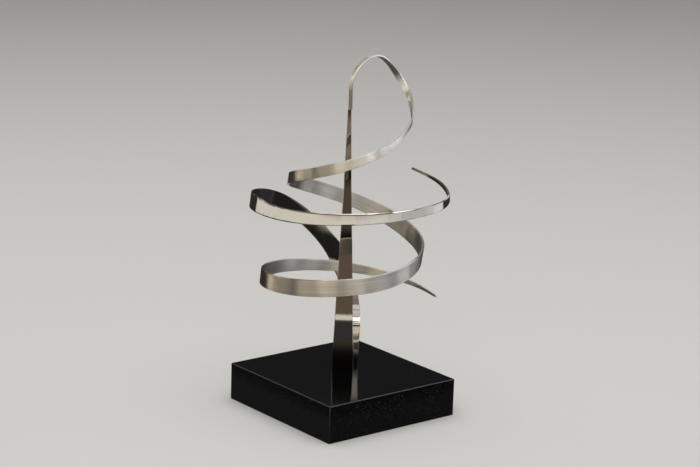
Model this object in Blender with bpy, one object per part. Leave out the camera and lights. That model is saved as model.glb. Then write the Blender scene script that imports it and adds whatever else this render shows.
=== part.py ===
"""Abstract metal sculpture on its own granite plinth.

A tapered polished plate stands upright in the middle of a polished black granite block.
A brushed ribbon starts on the plate's top end, rises in a tall loop and winds down round the
plate in a widening coil. A polished ribbon stands behind the plate, runs back under the coil
and sweeps up and round it as one wide ring.

Metres, +Z up. The origin is the centre of the plinth's underside. Ribbon stations are in
millimetres, in the sculpture's own frame: x to its right, y away from its front, height above
the plinth's top. Angles run clockwise seen from above, from the right: 90 is the front.
"""
import math

import bmesh
import bpy
import numpy as np
from mathutils import Matrix

MM = 0.001
GAP = 0.0003

# Granite block
PLINTH_LENGTH = 0.260
PLINTH_DEPTH = 0.250
PLINTH_HEIGHT = 0.060
PLINTH_ARRIS = 0.0015

# The sculpture stands turned on the block
SCULPTURE_TURN = math.radians(51.3)

# Upright plate: its face's height, width and how far it stands to the right, and its thickness
PLATE_HEIGHT = 425.0
PLATE_THICKNESS = 5.0
PLATE_ARRIS = 0.0008
PLATE_FACE = [
    (0, 34.2, 0.4),
    (40, 32.6, 0.2),
    (80, 29.3, 0),
    (120, 26.2, -0.2),
    (210, 19.8, -0.4),
    (300, 12.2, -0.6),
    (PLATE_HEIGHT, 5.2, -1),
]

# Both ribbons: full thickness, and the thickness of a narrow end for its width
RIBBON_THICKNESS = 4.0
NARROW_THICKNESS = 2.4
NARROW_RATE = 0.1

# Brushed ribbon: angle, radius, height, width, then the way its outer face looks and leans
LOOP = [
    (-35, 0, PLATE_HEIGHT + 0.4, 7.2, 140, 0),
    (-35, 0, 448, 7.2, 140, 0),
    (-35, 1.2, 470, 7.4, 143, 12),
    (-35, 17.5, 495.5, 8.2, 145, 48),
    (-35, 32, 503.8, 8.8, 145, 72),
    (-34.5, 48, 506, 9.2, -90, 78),
    (-34.5, 70, 493.5, 9.8, -62, 35),
    (-34, 90, 469, 10.4, -75, 10),
    (-21.5, 99.4, 438.5, 10.2, -48, 3),
    (-14, 98.4, 427.5, 10, -38, 3),
    (-6, 97.5, 416.5, 9.3, -25, 3),
    (5, 94.5, 406.5, 8.3, -4, 3),
    (20, 91, 397.8, 8.3, 13, 3),
    (36, 92.3, 388.5, 10, 33, 5),
]
# The coil faces straight outwards, so its stations give angle, radius, height, width, lean
COIL = [
    (60, 95.5, 376, 12.5, 7),
    (90, 94.5, 358, 15.8, 5),
    (120, 93, 342, 16.6, 6),
    (150, 92, 327.5, 17.2, 7),
    (180, 92, 312.3, 18.5, 7),
    (210, 95.5, 296.5, 20.2, 5),
    (240, 100, 279, 22.2, 2),
    (270, 105, 259.5, 23.5, 0),
    (300, 110.5, 238, 26, -4),
    (330, 115.5, 217, 28, -8),
    (360, 119, 202.8, 27, -9),
    (390, 122, 191.3, 26.4, -7),
    (420, 124.5, 181, 26.4, -4),
    (450, 127, 174, 26.4, 0),
    (480, 129, 167.3, 26.2, 2),
    (510, 131, 161.3, 25.4, 3),
    (540, 132, 155.3, 23.8, 5),
    (570, 133, 149.3, 21.5, 4),
    (600, 134, 142.2, 19.5, 1),
    (630, 134.5, 135, 16.7, 0),
    (660, 138, 127.5, 11.5, 0),
    (685, 143.5, 121.5, 6, 0),
    (706, 150.5, 117.8, 2.8, 0),
]
# Polished ribbon: the foot's x, y, height, width, outward angle and lean
FOOT = [
    (10.5, 12, 0.3, 28, 270, -2),
    (11.2, 12.5, 30, 27.5, 270, -2),
    (13, 14, 60, 26, 270, -6),
    (14, 22, 82, 24, 270, -38),
    (13.5, 42, 94, 22, 270, -72),
    (11.5, 75, 100, 21.5, 268, -80),
    (7.5, 108, 105, 22, 266, -76),
    (1.5, 136, 113.5, 23.5, 262, -60),
    (-7, 151, 130, 26, 258, -42),
]
# Its ring: angle, radius, height, width, lean
RING = [
    (264.5, 155, 150, 29, -30),
    (257.5, 155.5, 178, 27, -21),
    (247, 156, 208.5, 25.5, -12),
    (236, 156, 233, 24, -6),
    (224, 156, 251.7, 24, 0),
    (209, 155, 265, 24, 4),
    (194, 152.5, 272.5, 24, 6),
    (178, 150.3, 278.7, 24, 6),
    (164, 150.5, 282.5, 24, 8),
    (152, 151.5, 283.8, 23.2, 11),
    (137, 153, 283.8, 20.7, 13),
    (120, 154, 284.7, 19.6, 13),
    (100, 155.3, 286.9, 18.5, 13),
    (80, 156.3, 289.2, 17, 13),
    (59, 157.3, 291.2, 15, 13),
    (36, 157.8, 292, 13.3, 11),
    (20, 158, 291.5, 11.8, 7),
    (5, 158.2, 291.5, 9.6, 3),
    (-10, 158.6, 293.7, 7.6, 0),
    (-22, 158.8, 298, 6.2, -3),
    (-35, 157.3, 302.7, 4.4, 0),
    (-49, 156, 308.3, 3.5, 0),
]
LOOP_AND_COIL_STEPS = 230
FOOT_AND_RING_STEPS = 200


def clear_scene():
    for obj in list(bpy.data.objects):
        bpy.data.objects.remove(obj, do_unlink=True)


def material(name, colour, roughness, metallic):
    made = bpy.data.materials.new(name)
    made.use_nodes = True
    shader = made.node_tree.nodes["Principled BSDF"]
    shader.inputs["Base Color"].default_value = (*colour, 1.0)
    shader.inputs["Roughness"].default_value = roughness
    shader.inputs["Metallic"].default_value = metallic
    return made


def new_object(name, mesh_builder, look):
    mesh = bpy.data.meshes.new(name)
    bmesh.ops.recalc_face_normals(mesh_builder, faces=mesh_builder.faces)
    mesh_builder.to_mesh(mesh)
    mesh_builder.free()
    mesh.materials.append(look)
    obj = bpy.data.objects.new(name, mesh)
    bpy.context.scene.collection.objects.link(obj)
    return obj


def around(angle, radius):
    """x and y of a point at this clockwise angle and radius."""
    return radius * math.cos(math.radians(angle)), -radius * math.sin(math.radians(angle))


def facing(angle, lean):
    """Unit vector that looks towards this angle, raised by lean degrees."""
    x, y = around(angle, math.cos(math.radians(lean)))
    return x, y, math.sin(math.radians(lean))


def smooth_line(knots, values, at):
    """A natural cubic spline through values at knots, read at the given places."""
    gaps = np.diff(knots)
    count = len(knots)
    system = np.eye(count)
    right = np.zeros_like(values)
    for i in range(1, count - 1):
        system[i, i - 1 : i + 2] = gaps[i - 1], 2 * (gaps[i - 1] + gaps[i]), gaps[i]
        slopes = (values[i + 1] - values[i]) / gaps[i] - (values[i] - values[i - 1]) / gaps[i - 1]
        right[i] = 6 * slopes
    bend = np.linalg.solve(system, right)
    i = np.clip(np.searchsorted(knots, at, side="right") - 1, 0, count - 2)
    gap = gaps[i][:, None]
    a = (knots[i + 1] - at)[:, None] / gap
    b = 1 - a
    curve = ((a**3 - a) * bend[i] + (b**3 - b) * bend[i + 1]) * gap**2 / 6
    return a * values[i] + b * values[i + 1] + curve


def ribbon_sections(stations, steps):
    """The four corners of each cross-section of a ribbon through its stations."""
    points = np.array([station[:3] for station in stations], float)
    outward = np.array([facing(*station[4:]) for station in stations])
    widths = np.array([[station[3]] for station in stations], float)
    knots = np.concatenate([[0], np.cumsum(np.linalg.norm(np.diff(points, axis=0), axis=1))])
    at = np.linspace(0, knots[-1], steps + 1)
    centre = smooth_line(knots, points, at)
    width = smooth_line(knots, widths, at)
    normal = smooth_line(knots, outward, at)
    along = np.gradient(centre, axis=0)
    along /= np.linalg.norm(along, axis=1, keepdims=True)
    normal -= (normal * along).sum(axis=1, keepdims=True) * along
    normal /= np.linalg.norm(normal, axis=1, keepdims=True)
    across = np.cross(normal, along)
    thick = np.minimum(RIBBON_THICKNESS, NARROW_THICKNESS + NARROW_RATE * width)
    corners = [
        centre + across * width / 2 * side + normal * thick / 2 * face
        for side, face in ((1, 1), (-1, 1), (-1, -1), (1, -1))
    ]
    sections = np.stack(corners, axis=1)
    # The lower end is sawn level, so that it stands flat
    sections[0, :, 2] = points[0, 2]
    return sections


def ribbon(name, stations, steps, look):
    """One flat bar bent along its stations, as a skin over its cross-sections with closed ends."""
    build = bmesh.new()
    rings = [
        [build.verts.new(corner) for corner in section]
        for section in ribbon_sections(stations, steps)
    ]
    for near, far in zip(rings, rings[1:]):
        for i in range(4):
            j = (i + 1) % 4
            build.faces.new((near[i], near[j], far[j], far[i]))
    build.faces.new(rings[0])
    build.faces.new(rings[-1])
    return stand(new_object(name, build, look))


def stand(obj):
    """Turns a piece of the sculpture on the block and lifts it onto the top, millimetres to metres."""
    obj.data.transform(
        Matrix.Translation((0, 0, PLINTH_HEIGHT))
        @ Matrix.Rotation(SCULPTURE_TURN, 4, "Z")
        @ Matrix.Scale(MM, 4)
    )
    obj.data.shade_smooth()
    obj.data.set_sharp_from_angle(angle=math.radians(30))
    return obj


def plinth(look):
    build = bmesh.new()
    bmesh.ops.create_cube(build, size=1)
    bmesh.ops.scale(build, vec=(PLINTH_LENGTH, PLINTH_DEPTH, PLINTH_HEIGHT), verts=build.verts)
    bmesh.ops.translate(build, vec=(0, 0, PLINTH_HEIGHT / 2), verts=build.verts)
    # A fine arris round the top and down the corners, but not round the underside
    edges = [edge for edge in build.edges if any(vert.co.z > PLINTH_HEIGHT / 2 for vert in edge.verts)]
    bmesh.ops.bevel(build, geom=edges, offset=PLINTH_ARRIS, segments=1, affect="EDGES")
    return new_object("plinth", build, look)


def upright_plate(look):
    """A flat bar ground to a taper, with its long front and back edges eased."""
    build = bmesh.new()
    rings = []
    for height, width, aside in PLATE_FACE:
        x, y = width / 2, PLATE_THICKNESS / 2
        z = max(height, GAP / MM)
        corners = ((-1, -1), (1, -1), (1, 1), (-1, 1))
        rings.append([build.verts.new((aside + a * x, b * y, z)) for a, b in corners])
    for near, far in zip(rings, rings[1:]):
        for i in range(4):
            j = (i + 1) % 4
            build.faces.new((near[i], near[j], far[j], far[i]))
    long_edges = [edge for edge in build.edges if abs(edge.verts[0].co.z - edge.verts[1].co.z) > 1]
    build.faces.new(rings[0])
    build.faces.new(rings[-1])
    bmesh.ops.bevel(build, geom=long_edges, offset=PLATE_ARRIS / MM, segments=1, affect="EDGES")
    return stand(new_object("upright_plate", build, look))


clear_scene()
granite = material("polished_granite", (0.012, 0.012, 0.013), 0.12, 0.0)
mirror_steel = material("polished_steel", (0.62, 0.60, 0.57), 0.08, 1.0)
brushed_steel = material("brushed_steel", (0.58, 0.57, 0.55), 0.32, 1.0)

plinth(granite)
upright_plate(mirror_steel)

coil = [(*station[:4], station[0], station[4]) for station in COIL]
ribbon(
    "brushed_ribbon",
    [(*around(s[0], s[1]), *s[2:]) for s in LOOP + coil],
    LOOP_AND_COIL_STEPS,
    brushed_steel,
)
ribbon(
    "polished_ribbon",
    FOOT + [(*around(s[0], s[1]), s[2], s[3], s[0], s[4]) for s in RING],
    FOOT_AND_RING_STEPS,
    mirror_steel,
)
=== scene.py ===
"""Abstract metal sculpture on its polished granite plinth: the looks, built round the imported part."""
import math

import bpy
import numpy as np
from mathutils import Matrix, Vector


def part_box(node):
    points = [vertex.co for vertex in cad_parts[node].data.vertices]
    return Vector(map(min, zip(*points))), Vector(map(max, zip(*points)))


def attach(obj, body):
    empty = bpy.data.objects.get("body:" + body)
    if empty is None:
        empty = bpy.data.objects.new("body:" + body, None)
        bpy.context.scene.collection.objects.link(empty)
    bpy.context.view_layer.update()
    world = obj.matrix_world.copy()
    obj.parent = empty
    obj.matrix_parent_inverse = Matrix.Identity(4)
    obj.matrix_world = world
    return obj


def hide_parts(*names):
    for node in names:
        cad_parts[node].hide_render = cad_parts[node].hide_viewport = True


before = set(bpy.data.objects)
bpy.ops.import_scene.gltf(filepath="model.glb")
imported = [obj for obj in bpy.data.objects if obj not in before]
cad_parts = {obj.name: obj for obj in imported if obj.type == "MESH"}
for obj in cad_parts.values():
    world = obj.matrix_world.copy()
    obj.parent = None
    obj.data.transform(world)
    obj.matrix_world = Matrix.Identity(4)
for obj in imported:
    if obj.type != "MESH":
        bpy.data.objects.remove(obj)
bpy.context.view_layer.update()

# ------------------------------------------------------------------------------------ studio
# The sculpture stands on pale seamless paper, which curves up into a wall all round it.
# Soft boxes light it from the front and above. The room that the steel mirrors is dark,
# so the paper is kept out of its reflections and a lamp of its own lights it.

PAPER_RADIUS = 6.0
PAPER_SWEEP = 1.5
PAPER_HEIGHT = 5.0
SWEEP_STEPS = 12


def linear(colour):
    """An sRGB hex colour such as "c8c2b4" as the linear values that Blender mixes."""
    parts = [int(colour[i : i + 2], 16) / 255 for i in (0, 2, 4)]
    return (*[c / 12.92 if c <= 0.04045 else ((c + 0.055) / 1.055) ** 2.4 for c in parts], 1.0)


def new_material(name):
    """A new material: itself, its node tree and its shader."""
    made = bpy.data.materials.new(name)
    made.use_nodes = True
    return made, made.node_tree, made.node_tree.nodes["Principled BSDF"]


def start_piece(name):
    """Takes the primitive just added as a new piece with this name."""
    piece = bpy.context.object
    piece.name = piece.data.name = name
    return piece


bpy.ops.object.select_all(action="DESELECT")
bpy.ops.mesh.primitive_circle_add(vertices=96, radius=PAPER_RADIUS, fill_type="NGON", location=(0, 0, 0))
paper = start_piece("paper_sweep")
bpy.ops.object.mode_set(mode="EDIT")
bpy.ops.mesh.select_mode(type="EDGE")
bpy.ops.mesh.select_all(action="SELECT")
bpy.ops.mesh.region_to_loop()
for step in range(SWEEP_STEPS):
    near, far = (math.radians(90 * s / SWEEP_STEPS) for s in (step, step + 1))
    reach = PAPER_RADIUS + PAPER_SWEEP * math.sin(near)
    grow = (PAPER_RADIUS + PAPER_SWEEP * math.sin(far)) / reach
    bpy.ops.mesh.extrude_edges_move(
        TRANSFORM_OT_translate={"value": (0, 0, PAPER_SWEEP * (math.cos(near) - math.cos(far)))}
    )
    bpy.ops.transform.resize(value=(grow, grow, 1), center_override=(0, 0, 0))
bpy.ops.mesh.extrude_edges_move(TRANSFORM_OT_translate={"value": (0, 0, PAPER_HEIGHT - PAPER_SWEEP)})
bpy.ops.mesh.select_all(action="SELECT")
bpy.ops.mesh.normals_make_consistent(inside=True)
bpy.ops.object.mode_set(mode="OBJECT")
bpy.ops.object.shade_smooth_by_angle(angle=math.radians(30))
paper.visible_glossy = False

# Matt background paper: pressed and uncoated, so it shows soft shade and no shine
pale_paper, tree, shader = new_material("seamless_paper")
shader.inputs["Base Color"].default_value = linear("d6d4d0")
shader.inputs["Roughness"].default_value = 0.9
shader.inputs["Specular IOR Level"].default_value = 0.1
paper.data.materials.append(pale_paper)

world = bpy.data.worlds.new("dark_room")
world.use_nodes = True
world.node_tree.nodes["Background"].inputs["Color"].default_value = linear("2c2b2a")
bpy.context.scene.world = world
bpy.context.scene.view_settings.view_transform = "Standard"

# ------------------------------------------------------------------------------ mirrored room
# What the steel mirrors: a round room of dark cloth with lit panels in it, and cloth on the
# table. Only mirror rays see them. Angles here are the sculpture's own, which stands turned
# on its block: they run clockwise seen from above, 0 is its right and 90 its front.

plinth_low, plinth_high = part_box("plinth")
PLINTH_TOP = plinth_high.z
SCULPTURE_TURN = math.radians(51.3)
SCULPTURE_PLACE = Matrix.Translation((0, 0, PLINTH_TOP)) @ Matrix.Rotation(SCULPTURE_TURN, 4, "Z")
ROOM_RADIUS = 0.9
ROOM_MIDDLE = PLINTH_TOP + 0.285
# Each panel: the angle of its middle, half its width, its lower and upper edge and how softly
# it ends, all in degrees seen from the room's middle, then its colour and brightness
LIT_PANELS = [
    ("grey_wall", 251, 89, -91, 91, 8, "343436", 1.0),
    ("back_strip", 270, 75, 7.5, 13.5, 1.5, "fbf8ff", 0.7),
    ("tan_wall_back", 275, 22, 15, 34, 3, "85766a", 1.0),
    ("back_box", 288, 30, 34, 62, 4, "fbfaf8", 0.85),
    ("band_left_end", 211, 5, -7, -1, 2.5, "fffaf0", 0.88),
    ("band_left_low", 201.5, 4.5, -4.7, 2.5, 2.5, "fffaf0", 0.92),
    ("band_left_mid", 193, 4, -2.3, 4, 2.5, "fffaf0", 0.95),
    ("band_left", 183.5, 5.5, -0.8, 6, 2.5, "fffaf0", 0.95),
    ("band_left_high", 171, 7, 1.2, 9.5, 2.5, "fffaf0", 0.95),
    ("band_front_left", 131, 33, 2.5, 12, 2.5, "fffcf1", 0.98),
    ("band_front", 91, 7, 6.5, 12.3, 2, "fffcf1", 1.0),
    ("band_front_right", 67, 17, 3, 12, 3, "fffcf6", 0.95),
    ("band_near_right", 42, 8, 1, 12, 3.5, "fcfbf9", 0.86),
    ("band_low_right", 26, 8, -1, 12, 4, "f6f8ff", 0.74),
    ("band_right", 9, 9, -3, 10.5, 4, "fafafb", 0.74),
    ("band_side_right", 354, 6, -6, 9, 4, "fbfbfd", 0.84),
    ("band_far_right", 337, 11, -9, 4, 4, "fcfcff", 0.95),
    ("dark_wall_right", 20, 45, -24, -5, 4, "222120", 1.0),
    ("tan_ledge", 80, 90, 12.8, 19, 1.5, "ffe0cc", 0.25),
    ("front_box", 77, 30, 19.5, 60, 3, "fffaf2", 2.3),
    ("front_left_box", 121, 14, 19.5, 56, 3, "fff4da", 2.0),
    ("bright_slot_left", 124, 4, 19.5, 56, 3, "fffbee", 2.4),
    ("bright_slot_right", 66, 5, 19.5, 56, 3, "f6f6ff", 2.2),
    ("left_fill", 150, 15, 19.5, 50, 4, "ffeccc", 0.5),
    ("right_box", 9, 34, 14, 54, 3, "f8f9ff", 2.2),
    ("left_box", 182, 4, 14, 36, 3, "ffeccc", 1.9),
    ("left_slot", 202, 3, 7, 30, 2, "ffeccc", 4.9),
    ("left_high_strip", 196, 20, 22, 27, 2, "fffaf0", 1.6),
    ("overhead_box", 90, 181, 62, 95, 5, "fffcf6", 0.8),
    ("lit_floor_right", 74, 10, -24, -5.5, 2.5, "ffeeda", 0.8),
    ("lit_floor_left", 124, 26, -24, -5, 4, "ffe9c8", 0.95),
    ("left_floor", 202, 6, -24, -9, 4, "ffe9c8", 1.9),
    ("left_floor_dim", 178, 18, -24, -9, 4, "ffe9c8", 0.42),
    ("brown_floor_near", 92, 26, -70, -20.3, 0.8, "6b5d4e", 1.0),
    ("brown_floor_far", 92, 26, -17.5, -11.5, 2, "5a4f45", 1.0),
    ("tan_far", 92, 12, -9, -3.1, 1.2, "b5a391", 0.6),
]


def add_node(tree, kind, settings=None, links=None):
    """Adds a node, sets its sockets and properties by name, and joins sockets of other nodes to it."""
    made = tree.nodes.new("ShaderNode" + kind)
    for name, value in (settings or {}).items():
        if name == "stops":
            ramp = made.color_ramp.elements
            while len(ramp) < len(value):
                ramp.new(0.5)
            for stop, (place, colour) in zip(ramp, value):
                stop.position, stop.color = place, colour
        elif isinstance(name, int) or name in made.inputs:
            made.inputs[name].default_value = value
        else:
            setattr(made, name, value)
    for name, source in (links or {}).items():
        tree.links.new(source, made.inputs[name])
    return made


def only_in_mirrors(piece):
    """Hides a piece of the room from everything but mirror rays."""
    piece.visible_camera = piece.visible_diffuse = piece.visible_shadow = False
    piece.visible_transmission = piece.visible_volume_scatter = False


bpy.ops.object.select_all(action="DESELECT")
bpy.ops.mesh.primitive_uv_sphere_add(
    segments=64, ring_count=32, radius=ROOM_RADIUS, location=(0, 0, ROOM_MIDDLE)
)
room = start_piece("dark_room")
bpy.ops.object.transform_apply(location=True, rotation=True, scale=True)
bpy.ops.object.mode_set(mode="EDIT")
bpy.ops.mesh.select_all(action="SELECT")
bpy.ops.mesh.normals_make_consistent(inside=True)
bpy.ops.object.mode_set(mode="OBJECT")
only_in_mirrors(room)

# Black cloth that gives a mirror almost nothing, with each panel's light added over it
lit_cloth, tree, shader = new_material("dark_cloth_with_lit_panels")
tree.nodes.remove(shader)
lit_cloth.cycles.emission_sampling = "NONE"
where = add_node(tree, "TexCoord").outputs["Object"]
middle = add_node(tree, "VectorMath", {"operation": "SUBTRACT", 1: (0, 0, ROOM_MIDDLE)}, {0: where})
looking = add_node(tree, "VectorMath", {"operation": "NORMALIZE"}, {0: middle.outputs[0]}).outputs[0]
height = add_node(tree, "SeparateXYZ", links={0: looking}).outputs["Z"]
rise = add_node(tree, "Math", {"operation": "ARCSINE"}, {0: height}).outputs[0]
light = add_node(tree, "Emission", {"Color": linear("0e0e0e"), "Strength": 1.0}).outputs[0]
for name, middle_angle, half, low, high, edge, colour, brightness in LIT_PANELS:
    turn = math.radians(middle_angle) - SCULPTURE_TURN
    turned = add_node(tree, "VectorRotate", {"rotation_type": "Z_AXIS", "Angle": turn}, {"Vector": looking})
    parts = add_node(tree, "SeparateXYZ", links={0: turned.outputs[0]})
    aside = add_node(
        tree, "Math", {"operation": "ARCTAN2"}, {0: parts.outputs["Y"], 1: parts.outputs["X"]}
    )
    away = add_node(tree, "Math", {"operation": "ABSOLUTE"}, {0: aside.outputs[0]})
    shares = []
    for value, start, end in (
        (away.outputs[0], half + edge / 2, half - edge / 2),
        (rise, low - edge / 2, low + edge / 2),
        (rise, high + edge / 2, high - edge / 2),
    ):
        start, end = math.radians(start), math.radians(end)
        fade = {"interpolation_type": "SMOOTHSTEP", "From Min": start, "From Max": end}
        shares.append(add_node(tree, "MapRange", fade, {"Value": value}).outputs["Result"])
    wide = add_node(tree, "Math", {"operation": "MULTIPLY"}, {0: shares[0], 1: shares[1]})
    whole = add_node(tree, "Math", {"operation": "MULTIPLY"}, {0: wide.outputs[0], 1: shares[2]})
    strength = add_node(tree, "Math", {"operation": "MULTIPLY", 1: brightness}, {0: whole.outputs[0]})
    panel = add_node(
        tree, "Emission", {"Color": linear(colour), "label": name}, {"Strength": strength.outputs[0]}
    )
    light = add_node(tree, "AddShader", links={0: light, 1: panel.outputs[0]}).outputs[0]
tree.links.new(light, tree.nodes["Material Output"].inputs["Surface"])
room.data.materials.append(lit_cloth)

# Glowing stand-ins for what lies on the table: grey cloth with a white hem at its front edge,
# painted pools of soft-box light on it, and a brown card that stands at the back left. No lamp
# lights them; each glows. Each has its colour, its brightness, its middle over the table, its
# two sides, and how far it tilts up
HEM_NEAR = 0.485
HEM_FAR = 0.518
CLOTH_PIECES = [
    ("grey_cloth", "3d3c3d", 1.0, (0, 0.5575, 0.0005), (3.2, 2.085), 0),
    ("white_hem", "fffaf0", 0.95, (0, -(HEM_NEAR + HEM_FAR) / 2, 0.0005), (1.0, HEM_FAR - HEM_NEAR), 0),
    ("lit_cloth_right", "fff8f2", 1.0, (0.37, -0.31, 0.001), (0.26, 0.26), 0),
    ("lit_cloth_side", "fffbf8", 1.5, (0.54, 0.07, 0.001), (0.28, 0.24), 0),
    ("lit_cloth_left", "fff4e4", 0.9, (-0.40, -0.32, 0.001), (0.22, 0.24), 0),
    ("brown_card", "6b6152", 0.25, (-0.30, 0.25, 0.24), (0.44, 0.30), 90),
]
for name, colour, brightness, (x, y, z), (wide, deep), tilt in CLOTH_PIECES:
    bpy.ops.object.select_all(action="DESELECT")
    bpy.ops.mesh.primitive_plane_add(
        size=1, location=(x, y, z - PLINTH_TOP), rotation=(0, math.radians(tilt), 0)
    )
    cloth = start_piece(name)
    cloth.scale = (wide, deep, 1)
    bpy.ops.object.transform_apply(location=True, rotation=True, scale=True)
    cloth.data.transform(SCULPTURE_PLACE)
    only_in_mirrors(cloth)
    glowing, tree, shader = new_material(name)
    tree.nodes.remove(shader)
    glowing.cycles.emission_sampling = "NONE"
    # Each piece glows with its colour at its brightness; the pools are painted light
    glow = add_node(tree, "Emission", {"Color": linear(colour), "Strength": brightness})
    tree.links.new(glow.outputs[0], tree.nodes["Material Output"].inputs["Surface"])
    cloth.data.materials.append(glowing)

# --------------------------------------------------------------------------- lamps and camera
# Three soft boxes stand round the sculpture and a broad lamp hangs over the paper. They light
# the granite and the paper only. The camera stands in front, a little above, with a long lens.

# Every lamp looks at the axis of the sculpture, at this height over the block
AIM_HEIGHT = 0.2


def soft_box(name, angle, rise, away, width, height, brightness):
    """A lamp this far from where it looks, at this clockwise angle and this many degrees up."""
    angle, rise = math.radians(angle), math.radians(rise)
    level_away = away * math.cos(rise)
    place = SCULPTURE_PLACE @ Vector(
        (level_away * math.cos(angle), -level_away * math.sin(angle), AIM_HEIGHT + away * math.sin(rise))
    )
    looked_at = SCULPTURE_PLACE @ Vector((0, 0, AIM_HEIGHT))
    bpy.ops.object.light_add(type="AREA", location=place)
    box = bpy.context.object
    box.name = box.data.name = name
    box.data.shape = "RECTANGLE"
    box.data.size, box.data.size_y = width, height
    box.data.energy = brightness * math.pi * width * height
    box.rotation_euler = (looked_at - place).to_track_quat("-Z", "Y").to_euler()
    box.visible_camera = box.visible_glossy = False


soft_box("front_soft_box", 95, 35, 3.0, 2.0, 1.4, 1.3)
soft_box("right_soft_box", 0, 30, 3.0, 1.4, 1.6, 1.1)
soft_box("left_soft_box", 206, 25, 3.0, 1.2, 1.6, 0.9)
soft_box("paper_lamp", 90, 89, 4.6, 6.0, 6.0, 2.3)

CAMERA_RISE = math.radians(14.511)
CAMERA_ROLL = math.radians(1.825)
CAMERA_AWAY = 3.5514
CAMERA_ASIDE = 0.01251
CAMERA_LIFT = 0.21927
right = Vector((1, 0, 0))
up = Vector((0, math.sin(CAMERA_RISE), math.cos(CAMERA_RISE)))
back = Vector((0, -math.cos(CAMERA_RISE), math.sin(CAMERA_RISE)))
level = Matrix.Rotation(CAMERA_ROLL, 3, back)
right, up = level @ right, level @ up
place = back * CAMERA_AWAY + right * CAMERA_ASIDE + up * CAMERA_LIFT
bpy.ops.object.camera_add()
camera = bpy.context.object
camera.data.lens, camera.data.sensor_width = 114.34, 36.0
camera.data.clip_start, camera.data.clip_end = 0.1, 30.0
axes = Matrix((right, up, back)).transposed().to_4x4()
camera.matrix_world = SCULPTURE_PLACE @ Matrix.Translation(place) @ axes
bpy.context.scene.camera = camera

# ------------------------------------------------------------------------------------ plinth
# A block of black granite, sawn, then ground and polished to a mirror on the top and all four
# sides. Its edges are eased with a narrow arris, rougher than the faces and painted a lighter
# grey as a painted highlight line, and the underside is left sawn and sharp.

PLINTH_ARRIS = 0.0012
LARGEST_ARRIS_FACE = 0.001


def select_edges(piece, wanted):
    """Selects in edit mode just the edges for which wanted(one end, other end) is true."""
    bpy.ops.object.mode_set(mode="EDIT")
    bpy.ops.mesh.select_mode(type="EDGE")
    bpy.ops.mesh.select_all(action="DESELECT")
    bpy.ops.object.mode_set(mode="OBJECT")
    points = piece.data.vertices
    for edge in piece.data.edges:
        edge.select = wanted(*[points[i].co for i in edge.vertices])
    bpy.ops.object.mode_set(mode="EDIT")


bpy.ops.object.select_all(action="DESELECT")
bpy.ops.mesh.primitive_cube_add(size=1, location=(plinth_low + plinth_high) / 2)
plinth = start_piece("granite_plinth")
plinth.scale = plinth_high - plinth_low
bpy.ops.object.transform_apply(location=True, rotation=True, scale=True)
select_edges(plinth, lambda a, b: max(a.z, b.z) > PLINTH_TOP / 2)
bpy.ops.mesh.bevel(offset=PLINTH_ARRIS, segments=2, profile=0.5)
bpy.ops.object.mode_set(mode="OBJECT")
arris_faces = [face.index for face in plinth.data.polygons if face.area < LARGEST_ARRIS_FACE]
bpy.ops.object.shade_smooth()
bpy.ops.object.modifier_add(type="WEIGHTED_NORMAL")
bpy.ops.object.modifier_apply(modifier=plinth.modifiers[0].name)

# Polished black granite: near-black crystals under a mirror polish, with grey feldspar flecks
# up to 2 mm across among them. The flecks are painted fainter on the top than on the sides,
# a painted stand-in for the sheen that hides them there
granite, tree, shader = new_material("polished_black_granite")
where = add_node(tree, "TexCoord").outputs["Object"]
crystals = add_node(tree, "TexVoronoi", {"Scale": 1 / 0.0026, "Randomness": 1.0}, {"Vector": where})
chance = add_node(tree, "SeparateColor", links={"Color": crystals.outputs["Color"]})
shown = add_node(
    tree, "MapRange",
    {"From Min": 0.55, "From Max": 1.0, "To Min": 0.0, "To Max": 0.42},
    {"Value": chance.outputs["Red"]},
)
fleck = add_node(
    tree, "Math", {"operation": "LESS_THAN"}, {0: crystals.outputs["Distance"], 1: shown.outputs["Result"]}
)
pale = add_node(tree, "MapRange", {"To Min": 0.25, "To Max": 1.0}, {"Value": chance.outputs["Green"]})
upward = add_node(tree, "SeparateXYZ", links={0: add_node(tree, "NewGeometry").outputs["Normal"]})
# Painted light: flecks on faces that look up are dimmed, standing in for the top's sheen
top_sheen_fading = add_node(
    tree, "MapRange",
    {"From Min": 0.2, "From Max": 0.8, "To Min": 1.0, "To Max": 0.4},
    {"Value": upward.outputs["Z"]},
)
seen = add_node(
    tree, "Math", {"operation": "MULTIPLY"}, {0: pale.outputs["Result"], 1: top_sheen_fading.outputs["Result"]}
)
amount = add_node(tree, "Math", {"operation": "MULTIPLY"}, {0: fleck.outputs[0], 1: seen.outputs[0]})
patches = add_node(tree, "TexNoise", {"Scale": 1 / 0.006, "Detail": 3.0}, {"Vector": where})
ground = add_node(
    tree, "ValToRGB",
    {"stops": [(0.35, linear("010101")), (0.7, linear("070707"))]},
    {"Fac": patches.outputs["Fac"]},
)
grain_colour = add_node(
    tree, "Mix",
    {"data_type": "RGBA", 7: linear("363639")},
    {0: amount.outputs[0], 6: ground.outputs["Color"]},
)
tree.links.new(grain_colour.outputs[2], shader.inputs["Base Color"])
shader.inputs["Roughness"].default_value = 0.07
shader.inputs["IOR"].default_value = 1.54
plinth.data.materials.append(granite)

# The arris: the same granite, rougher, and painted a lighter grey, a painted highlight line along each edge
arris_painted_highlight, tree, shader = new_material("granite_arris_painted_highlight")
where = add_node(tree, "TexCoord").outputs["Object"]
grit = add_node(tree, "TexNoise", {"Scale": 1 / 0.0012, "Detail": 3.0}, {"Vector": where})
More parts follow.
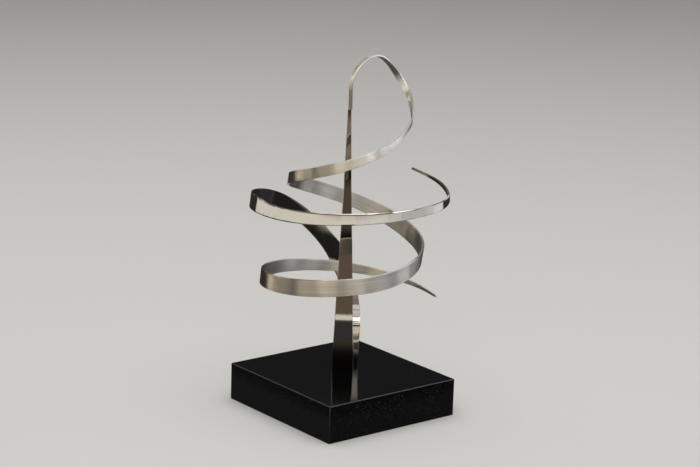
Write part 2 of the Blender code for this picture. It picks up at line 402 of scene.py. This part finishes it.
# Painted highlight: this lighter grey stands in for the light line along the edge
arris_highlight_colour = add_node(
    tree, "ValToRGB",
    {"stops": [(0.35, linear("161617")), (0.65, linear("454547"))]},
    {"Fac": grit.outputs["Fac"]},
)
tree.links.new(arris_highlight_colour.outputs["Color"], shader.inputs["Base Color"])
shader.inputs["Roughness"].default_value = 0.45
shader.inputs["IOR"].default_value = 1.54
plinth.data.materials.append(arris_painted_highlight)
for index in arris_faces:
    plinth.data.polygons[index].material_index = 1
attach(plinth, "root")
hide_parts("plinth")

# ------------------------------------------------------------------------------ upright plate
# A flat stainless bar, ground to a long taper and polished to a mirror, that stands on the
# middle of the block and carries the brushed ribbon on its top end. Its long edges are eased.

PLATE_HEIGHT = 0.425
PLATE_THICKNESS = 0.005
PLATE_ARRIS = 0.0008
PLATE_CUTS = 59
# Where the bar is narrower than this, its arris narrows with it
FULL_ARRIS_WIDTH = 0.012
# Every bar starts as a straight blank of this width, and is narrowed to its real one
BLANK_WIDTH = 0.030
# Its face: height, width, and how far it stands to the right
PLATE_FACE = np.array([
    (0, 0.0342, 0.0004),
    (0.040, 0.0326, 0.0002),
    (0.080, 0.0293, 0),
    (0.120, 0.0262, -0.0002),
    (0.210, 0.0198, -0.0004),
    (0.300, 0.0122, -0.0006),
    (PLATE_HEIGHT, 0.0052, -0.001),
])


def stand(piece):
    """Turns a finished piece of the sculpture on the block and lifts it onto the top."""
    piece.data.transform(SCULPTURE_PLACE)
    piece.data.update()


def positions(piece):
    """Every point of a piece, as rows of x, y and z."""
    flat = np.empty(len(piece.data.vertices) * 3)
    piece.data.vertices.foreach_get("co", flat)
    return flat.reshape(-1, 3)


def map_blank(piece, name):
    """Gives a straight blank a UV map in metres: along its length, and across whichever face it is.

    Each side is moved aside by another amount, so that it shows other lines than the rest."""
    mesh = piece.data
    points = positions(piece)
    chart = mesh.uv_layers.new(name=name)
    for face in mesh.polygons:
        looks_along = int(np.argmax(np.abs(face.normal)))
        for loop in face.loop_indices:
            x, y, z = points[mesh.loops[loop].vertex_index]
            if looks_along == 0:
                place = (y, z + 0.4)
            elif looks_along == 1:
                place = (x, z + 0.2)
            elif face.normal.z < 0:
                place = (x, y + 0.1)
            else:
                place = (x, y)
            chart.data[loop].uv = place


def finish_shading(piece):
    """Turns the faces outwards and shades the piece smooth, but sharp where an end is sawn."""
    bpy.ops.object.mode_set(mode="EDIT")
    bpy.ops.mesh.select_all(action="SELECT")
    bpy.ops.mesh.normals_make_consistent(inside=False)
    bpy.ops.object.mode_set(mode="OBJECT")
    bpy.ops.object.shade_smooth_by_angle(angle=math.radians(60))
    bpy.ops.object.modifier_add(type="WEIGHTED_NORMAL")
    piece.modifiers[0].keep_sharp = True
    bpy.ops.object.modifier_apply(modifier=piece.modifiers[0].name)


bpy.ops.object.select_all(action="DESELECT")
bpy.ops.mesh.primitive_cube_add(size=1, location=(PLATE_HEIGHT / 2, 0, 0))
plate = start_piece("mirror_plate")
plate.scale = (PLATE_HEIGHT, BLANK_WIDTH, PLATE_THICKNESS)
bpy.ops.object.transform_apply(location=True, rotation=True, scale=True)
select_edges(plate, lambda a, b: abs(a.x - b.x) > PLATE_HEIGHT / 2)
bpy.ops.mesh.bevel(offset=PLATE_ARRIS, segments=2, profile=0.5)
select_edges(plate, lambda a, b: abs(a.x - b.x) > PLATE_HEIGHT / 2)
bpy.ops.mesh.subdivide(number_cuts=PLATE_CUTS)
bpy.ops.object.mode_set(mode="OBJECT")
map_blank(plate, "blank")
points = positions(plate)
width = np.interp(points[:, 0], PLATE_FACE[:, 0], PLATE_FACE[:, 1])
aside = np.interp(points[:, 0], PLATE_FACE[:, 0], PLATE_FACE[:, 2])
narrow = np.minimum(1, width / FULL_ARRIS_WIDTH)
from_edge = BLANK_WIDTH / 2 - abs(points[:, 1])
across = np.sign(points[:, 1]) * (width / 2 - from_edge * narrow)
shaped = np.stack([aside + across, points[:, 2], points[:, 0]], axis=1)
plate.data.vertices.foreach_set("co", shaped.ravel())
finish_shading(plate)
stand(plate)

# Mirror-polished stainless steel: buffed until it shows a clear image, with faint lengthwise
# buffing lines and a little haze from handling. The lines are drawn about 0.6 mm apart, coarser
# than real ones, to show
mirror_steel, tree, shader = new_material("mirror_polished_stainless")
blank = add_node(tree, "UVMap", {"uv_map": "blank"}).outputs["UV"]
where = add_node(tree, "TexCoord").outputs["Object"]
lines = add_node(tree, "Mapping", {"Scale": (1 / 0.060, 1 / 0.0006, 1)}, {"Vector": blank})
buffing = add_node(tree, "TexNoise", {"Scale": 1.0, "Detail": 2.0}, {"Vector": lines.outputs["Vector"]})
haze = add_node(tree, "TexNoise", {"Scale": 1 / 0.035, "Detail": 4.0}, {"Vector": where})
mixed = add_node(
    tree, "Math", {"operation": "MULTIPLY"}, {0: buffing.outputs["Fac"], 1: haze.outputs["Fac"]}
)
rough = add_node(
    tree, "MapRange",
    {"From Min": 0.1, "From Max": 0.45, "To Min": 0.015, "To Max": 0.045},
    {"Value": mixed.outputs[0]},
)
tint = add_node(
    tree, "ValToRGB",
    {"stops": [(0.3, linear("c6c1ba")), (0.7, linear("cdc8c1"))]},
    {"Fac": haze.outputs["Fac"]},
)
bump = add_node(tree, "Bump", {"Strength": 0.03, "Distance": 0.0004}, {"Height": buffing.outputs["Fac"]})
tree.links.new(rough.outputs["Result"], shader.inputs["Roughness"])
tree.links.new(tint.outputs["Color"], shader.inputs["Base Color"])
tree.links.new(bump.outputs["Normal"], shader.inputs["Normal"])
shader.inputs["Metallic"].default_value = 1.0
plate.data.materials.append(mirror_steel)
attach(plate, "root")
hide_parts("upright_plate")

# ----------------------------------------------------------------------------- brushed ribbon
# One long flat bar of stainless steel, 4 mm thick, bent cold into a tall loop and a widening
# coil, then brushed lengthwise to a satin. It stands end-on on the plate, with a fine seam.

RIBBON_THICKNESS = 4.0
# A narrow end is thinner: this, and this much for each millimetre of its width
NARROW_THICKNESS = 2.4
NARROW_RATE = 0.1
# A ground strip shrinks where the ribbon is narrower than this, but not below this share
FULL_STRIP_WIDTH = 14
LEAST_STRIP_SHARE = 0.3
# A point this near to a strip's inner line counts as in the strip
ON_THE_LINE = 0.01
# The lower end is sawn level, and the cut reaches no further up than this
SAWN_REACH = 8
# The direction of the curve is worked out at this many points
CURVE_POINTS = 6001
# A blank is cut twice along its length, into 25 pieces and then each of them into 25
CUTS_EACH_TIME = 24

# Stations in millimetres: clockwise angle, radius, height, width, the way it faces, lean
LOOP = [
    (-35, 0, 425.1, 7.2, 140, 0),
    (-35, 0, 448, 7.2, 140, 0),
    (-35, 1.2, 470, 7.4, 143, 12),
    (-35, 17.5, 495.5, 8.2, 145, 48),
    (-35, 32, 503.8, 8.8, 145, 72),
    (-34.5, 48, 506, 9.2, -90, 78),
    (-34.5, 70, 493.5, 9.8, -62, 35),
    (-34, 90, 469, 10.4, -75, 10),
    (-21.5, 99.4, 438.5, 10.2, -48, 3),
    (-14, 98.4, 427.5, 10, -38, 3),
    (-6, 97.5, 416.5, 9.3, -25, 3),
    (5, 94.5, 406.5, 8.3, -4, 3),
    (20, 91, 397.8, 8.3, 13, 3),
    (36, 92.3, 388.5, 10, 33, 5),
]
# The coil faces straight outwards: angle, radius, height, width, lean
COIL = [
    (60, 95.5, 376, 12.5, 7),
    (90, 94.5, 358, 15.8, 5),
    (120, 93, 342, 16.6, 6),
    (150, 92, 327.5, 17.2, 7),
    (180, 92, 312.3, 18.5, 7),
    (210, 95.5, 296.5, 20.2, 5),
    (240, 100, 279, 22.2, 2),
    (270, 105, 259.5, 23.5, 0),
    (300, 110.5, 238, 26, -4),
    (330, 115.5, 217, 28, -8),
    (360, 119, 202.8, 27, -9),
    (390, 122, 191.3, 26.4, -7),
    (420, 124.5, 181, 26.4, -4),
    (450, 127, 174, 26.4, 0),
    (480, 129, 167.3, 26.2, 2),
    (510, 131, 161.3, 25.4, 3),
    (540, 132, 155.3, 23.8, 5),
    (570, 133, 149.3, 21.5, 4),
    (600, 134, 142.2, 19.5, 1),
    (630, 134.5, 135, 16.7, 0),
    (660, 138, 127.5, 11.5, 0),
    (685, 143.5, 121.5, 6, 0),
    (706, 150.5, 117.8, 2.8, 0),
]


def around(angle, radius):
    """x and y of a point at this clockwise angle and radius."""
    return radius * math.cos(math.radians(angle)), -radius * math.sin(math.radians(angle))


def facing(angle, lean):
    """Unit vector that looks towards this angle, raised by lean degrees."""
    x, y = around(angle, math.cos(math.radians(lean)))
    return x, y, math.sin(math.radians(lean))


def smooth_line(knots, values, at):
    """A natural cubic spline through values at knots, read at the given places."""
    gaps = np.diff(knots)
    count = len(knots)
    system = np.eye(count)
    wanted = np.zeros_like(values)
    for i in range(1, count - 1):
        system[i, i - 1 : i + 2] = gaps[i - 1], 2 * (gaps[i - 1] + gaps[i]), gaps[i]
        turn = (values[i + 1] - values[i]) / gaps[i] - (values[i] - values[i - 1]) / gaps[i - 1]
        wanted[i] = 6 * turn
    bend = np.linalg.solve(system, wanted)
    i = np.clip(np.searchsorted(knots, at, side="right") - 1, 0, count - 2)
    gap = gaps[i][:, None]
    a = (knots[i + 1] - at)[:, None] / gap
    b = 1 - a
    curve = ((a**3 - a) * bend[i] + (b**3 - b) * bend[i + 1]) * gap**2 / 6
    return a * values[i] + b * values[i + 1] + curve


def unit(vectors):
    """Each row at length one."""
    return vectors / np.linalg.norm(vectors, axis=1, keepdims=True)


def bent_ribbon(name, stations, arris, ground_edges=()):
    """A straight blank of the ribbon's real length, eased on all edges but its start, then bent.

    Each ground edge is a strip of the outer face: its side (1 or -1), its width and its depth."""
    stops = np.array([station[:3] for station in stations], float)
    outward = np.array([facing(*station[4:]) for station in stations])
    widths = np.array([[station[3]] for station in stations], float)
    knots = np.concatenate([[0], np.cumsum(np.linalg.norm(np.diff(stops, axis=0), axis=1))])
    length = knots[-1] / 1000

    bpy.ops.object.select_all(action="DESELECT")
    bpy.ops.mesh.primitive_cube_add(size=1, location=(length / 2, 0, 0))
    ribbon = start_piece(name)
    ribbon.scale = (length, BLANK_WIDTH, RIBBON_THICKNESS / 1000)
    bpy.ops.object.transform_apply(location=True, rotation=True, scale=True)
    select_edges(ribbon, lambda a, b: max(a.x, b.x) > length / 2)
    bpy.ops.mesh.bevel(offset=arris, segments=2, profile=0.5)
    for side, strip, _ in ground_edges:
        bpy.ops.mesh.select_all(action="SELECT")
        bpy.ops.mesh.bisect(plane_co=(0, side * (BLANK_WIDTH / 2 - strip), 0), plane_no=(0, 1, 0))
    for _ in range(2):
        select_edges(ribbon, lambda a, b: abs(a.x - b.x) > 2 * arris)
        bpy.ops.mesh.subdivide(number_cuts=CUTS_EACH_TIME)
    bpy.ops.object.mode_set(mode="OBJECT")
    map_blank(ribbon, "blank")

    # The curve through the stations, in millimetres, and the ribbon's own three directions on it
    blank = positions(ribbon)
    at = np.clip(blank[:, 0] * 1000, 0, knots[-1])
    fine = np.linspace(0, knots[-1], CURVE_POINTS)
    ahead = unit(np.gradient(smooth_line(knots, stops, fine), axis=0))
    along = unit(np.stack([np.interp(at, fine, ahead[:, i]) for i in range(3)], axis=1))
    normal = smooth_line(knots, outward, at)
    normal = unit(normal - (normal * along).sum(axis=1, keepdims=True) * along)
    across = np.cross(normal, along)
    centre = smooth_line(knots, stops, at)
    width = smooth_line(knots, widths, at)[:, 0]
    thick = np.minimum(RIBBON_THICKNESS, NARROW_THICKNESS + NARROW_RATE * width)

    # Each point keeps its distance from the nearest edge and face, so the arris keeps its size
    half_blank = BLANK_WIDTH * 500
    y, z = blank[:, 1] * 1000, blank[:, 2] * 1000
    aside = np.sign(y) * (width / 2 - (half_blank - abs(y)))
    out = np.sign(z) * (thick / 2 - (RIBBON_THICKNESS / 2 - abs(z)))
    for side, strip, depth in ground_edges:
        inwards = np.clip((y * side - half_blank) / (strip * 1000) + 1, 0, 1)
        out -= np.where(z > 0, inwards * depth * 1000 * np.minimum(1, width / FULL_STRIP_WIDTH), 0)
        narrow = np.clip(width / FULL_STRIP_WIDTH, LEAST_STRIP_SHARE, 1)
        in_strip = y * side > half_blank - strip * 1000 - ON_THE_LINE
        aside = np.where(in_strip, side * (width / 2 - (half_blank - abs(y)) * narrow), aside)
    bent = centre + across * aside[:, None] + normal * out[:, None]
    start = at < SAWN_REACH
    bent[start, 2] = np.maximum(bent[start, 2], stops[0, 2])
    ribbon.data.vertices.foreach_set("co", (bent / 1000).ravel())
    ribbon.data.update()
    finish_shading(ribbon)
    stand(ribbon)
    return ribbon


coil = [(angle, radius, height, width, angle, lean) for angle, radius, height, width, lean in COIL]
brushed_ribbon = bent_ribbon(
    "satin_ribbon",
    [(*around(angle, radius), *rest) for angle, radius, *rest in LOOP + coil],
    arris=0.0008,
)

# Satin-brushed stainless steel: belt-brushed lengthwise, so fine scratches about 0.2 mm apart
# run along it and spread each light into a bar across it. Drawn 0.7 mm apart here, to show
brushed_steel, tree, shader = new_material("satin_brushed_stainless")
blank = add_node(tree, "UVMap", {"uv_map": "blank"}).outputs["UV"]
fine_lines = add_node(tree, "Mapping", {"Scale": (1 / 0.045, 1 / 0.0007, 1)}, {"Vector": blank})
scratches = add_node(
    tree, "TexNoise",
    {"Scale": 1.0, "Detail": 3.0, "Roughness": 0.6},
    {"Vector": fine_lines.outputs["Vector"]},
)
wide_lines = add_node(tree, "Mapping", {"Scale": (1 / 0.120, 1 / 0.0040, 1)}, {"Vector": blank})
passes = add_node(tree, "TexNoise", {"Scale": 1.0, "Detail": 2.0}, {"Vector": wide_lines.outputs["Vector"]})
rough = add_node(
    tree, "MapRange",
    {"From Min": 0.3, "From Max": 0.7, "To Min": 0.34, "To Max": 0.42},
    {"Value": scratches.outputs["Fac"]},
)
tint = add_node(
    tree, "ValToRGB",
    {"stops": [(0.3, linear("c4c1ba")), (0.7, linear("d8d5ce"))]},
    {"Fac": passes.outputs["Fac"]},
)
bump = add_node(tree, "Bump", {"Strength": 0.10, "Distance": 0.0002}, {"Height": scratches.outputs["Fac"]})
grain_way = add_node(tree, "Tangent", {"direction_type": "UV_MAP", "uv_map": "blank"})
tree.links.new(rough.outputs["Result"], shader.inputs["Roughness"])
tree.links.new(tint.outputs["Color"], shader.inputs["Base Color"])
tree.links.new(bump.outputs["Normal"], shader.inputs["Normal"])
tree.links.new(grain_way.outputs["Tangent"], shader.inputs["Tangent"])
shader.inputs["Metallic"].default_value = 1.0
shader.inputs["Anisotropic"].default_value = 1.0
shader.inputs["Anisotropic Rotation"].default_value = 0.25
brushed_ribbon.data.materials.append(brushed_steel)
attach(brushed_ribbon, "root")
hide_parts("brushed_ribbon")

# ---------------------------------------------------------------------------- polished ribbon
# A second flat bar, broad at its foot behind the plate, bent back under the coil and rolled
# round it as one wide ring that narrows to its tip. It is polished all over, less finely
# than the plate, and stands on the block.

# The foot: x, y, height, width, outward angle, lean
FOOT = [
    (10.5, 11.4, 0.05, 28, 262, -2),
    (11.2, 12, 30, 27.5, 262, -3),
    (13, 13.8, 60, 26, 262, -5),
    (13.7, 17, 76, 24.8, 263, -22),
    (14, 25, 86, 23.6, 265, -48),
    (13.5, 42, 94, 22, 270, -72),
    (11.5, 75, 100, 21.5, 268, -80),
    (7.5, 108, 105, 22, 266, -76),
    (1.5, 136, 113.5, 23.5, 262, -60),
    (-7, 151, 130, 26, 258, -42),
]
# The ring: angle, radius, height, width, lean
RING = [
    (264.5, 155, 150, 29, -30),
    (257.5, 155.5, 178, 27, -17.5),
    (247, 156, 208.5, 25.5, -8),
    (236, 156, 233, 24, -2),
    (224, 156, 251.7, 24, 2.5),
    (209, 155, 265, 24, 4),
    (194, 152.5, 272.5, 24, 6),
    (178, 150.3, 278.7, 24, 6),
    (164, 150.5, 282.5, 24, 8),
    (152, 151.5, 283.8, 23.2, 11),
    (137, 153, 283.8, 20.7, 13),
    (120, 154, 284.7, 19.6, 13),
    (100, 155.3, 286.9, 18.5, 13),
    (80, 156.3, 289.2, 17, 13),
    (59, 157.3, 291.2, 15, 13),
    (36, 157.8, 292, 13.3, 11),
    (20, 158, 291.5, 11.8, 7),
    (5, 158.2, 291.5, 9.6, 3),
    (-10, 158.6, 293.7, 7.6, 0),
    (-22, 158.8, 298, 6.2, -3),
    (-35, 157.3, 302.7, 4.4, 0),
    (-49, 156, 308.3, 3.5, 0),
]

ring = [
    (*around(angle, radius), height, width, angle, lean) for angle, radius, height, width, lean in RING
]
polished_ribbon = bent_ribbon(
    "bright_ribbon",
    FOOT + ring,
    arris=0.0004,
    ground_edges=((1, 0.0030, 0.00024), (-1, 0.0024, 0.00006)),
)

# Bright-polished stainless steel: buffed after rolling, so it mirrors the room a little
# softly, with long faint polishing lines along it, drawn about 0.9 mm apart to show
bright_steel, tree, shader = new_material("bright_polished_stainless")
blank = add_node(tree, "UVMap", {"uv_map": "blank"}).outputs["UV"]
where = add_node(tree, "TexCoord").outputs["Object"]
lines = add_node(tree, "Mapping", {"Scale": (1 / 0.080, 1 / 0.0009, 1)}, {"Vector": blank})
buffing = add_node(tree, "TexNoise", {"Scale": 1.0, "Detail": 2.0}, {"Vector": lines.outputs["Vector"]})
clouds = add_node(tree, "TexNoise", {"Scale": 1 / 0.030, "Detail": 3.0}, {"Vector": where})
mixed = add_node(
    tree, "Math", {"operation": "MULTIPLY"}, {0: buffing.outputs["Fac"], 1: clouds.outputs["Fac"]}
)
rough = add_node(
    tree, "MapRange",
    {"From Min": 0.1, "From Max": 0.45, "To Min": 0.03, "To Max": 0.07},
    {"Value": mixed.outputs[0]},
)
tint = add_node(
    tree, "ValToRGB",
    {"stops": [(0.3, linear("c5c1ba")), (0.7, linear("ccc8c2"))]},
    {"Fac": clouds.outputs["Fac"]},
)
bump = add_node(tree, "Bump", {"Strength": 0.05, "Distance": 0.0004}, {"Height": buffing.outputs["Fac"]})
tree.links.new(rough.outputs["Result"], shader.inputs["Roughness"])
tree.links.new(tint.outputs["Color"], shader.inputs["Base Color"])
tree.links.new(bump.outputs["Normal"], shader.inputs["Normal"])
shader.inputs["Metallic"].default_value = 1.0
polished_ribbon.data.materials.append(bright_steel)
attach(polished_ribbon, "root")
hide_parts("polished_ribbon")
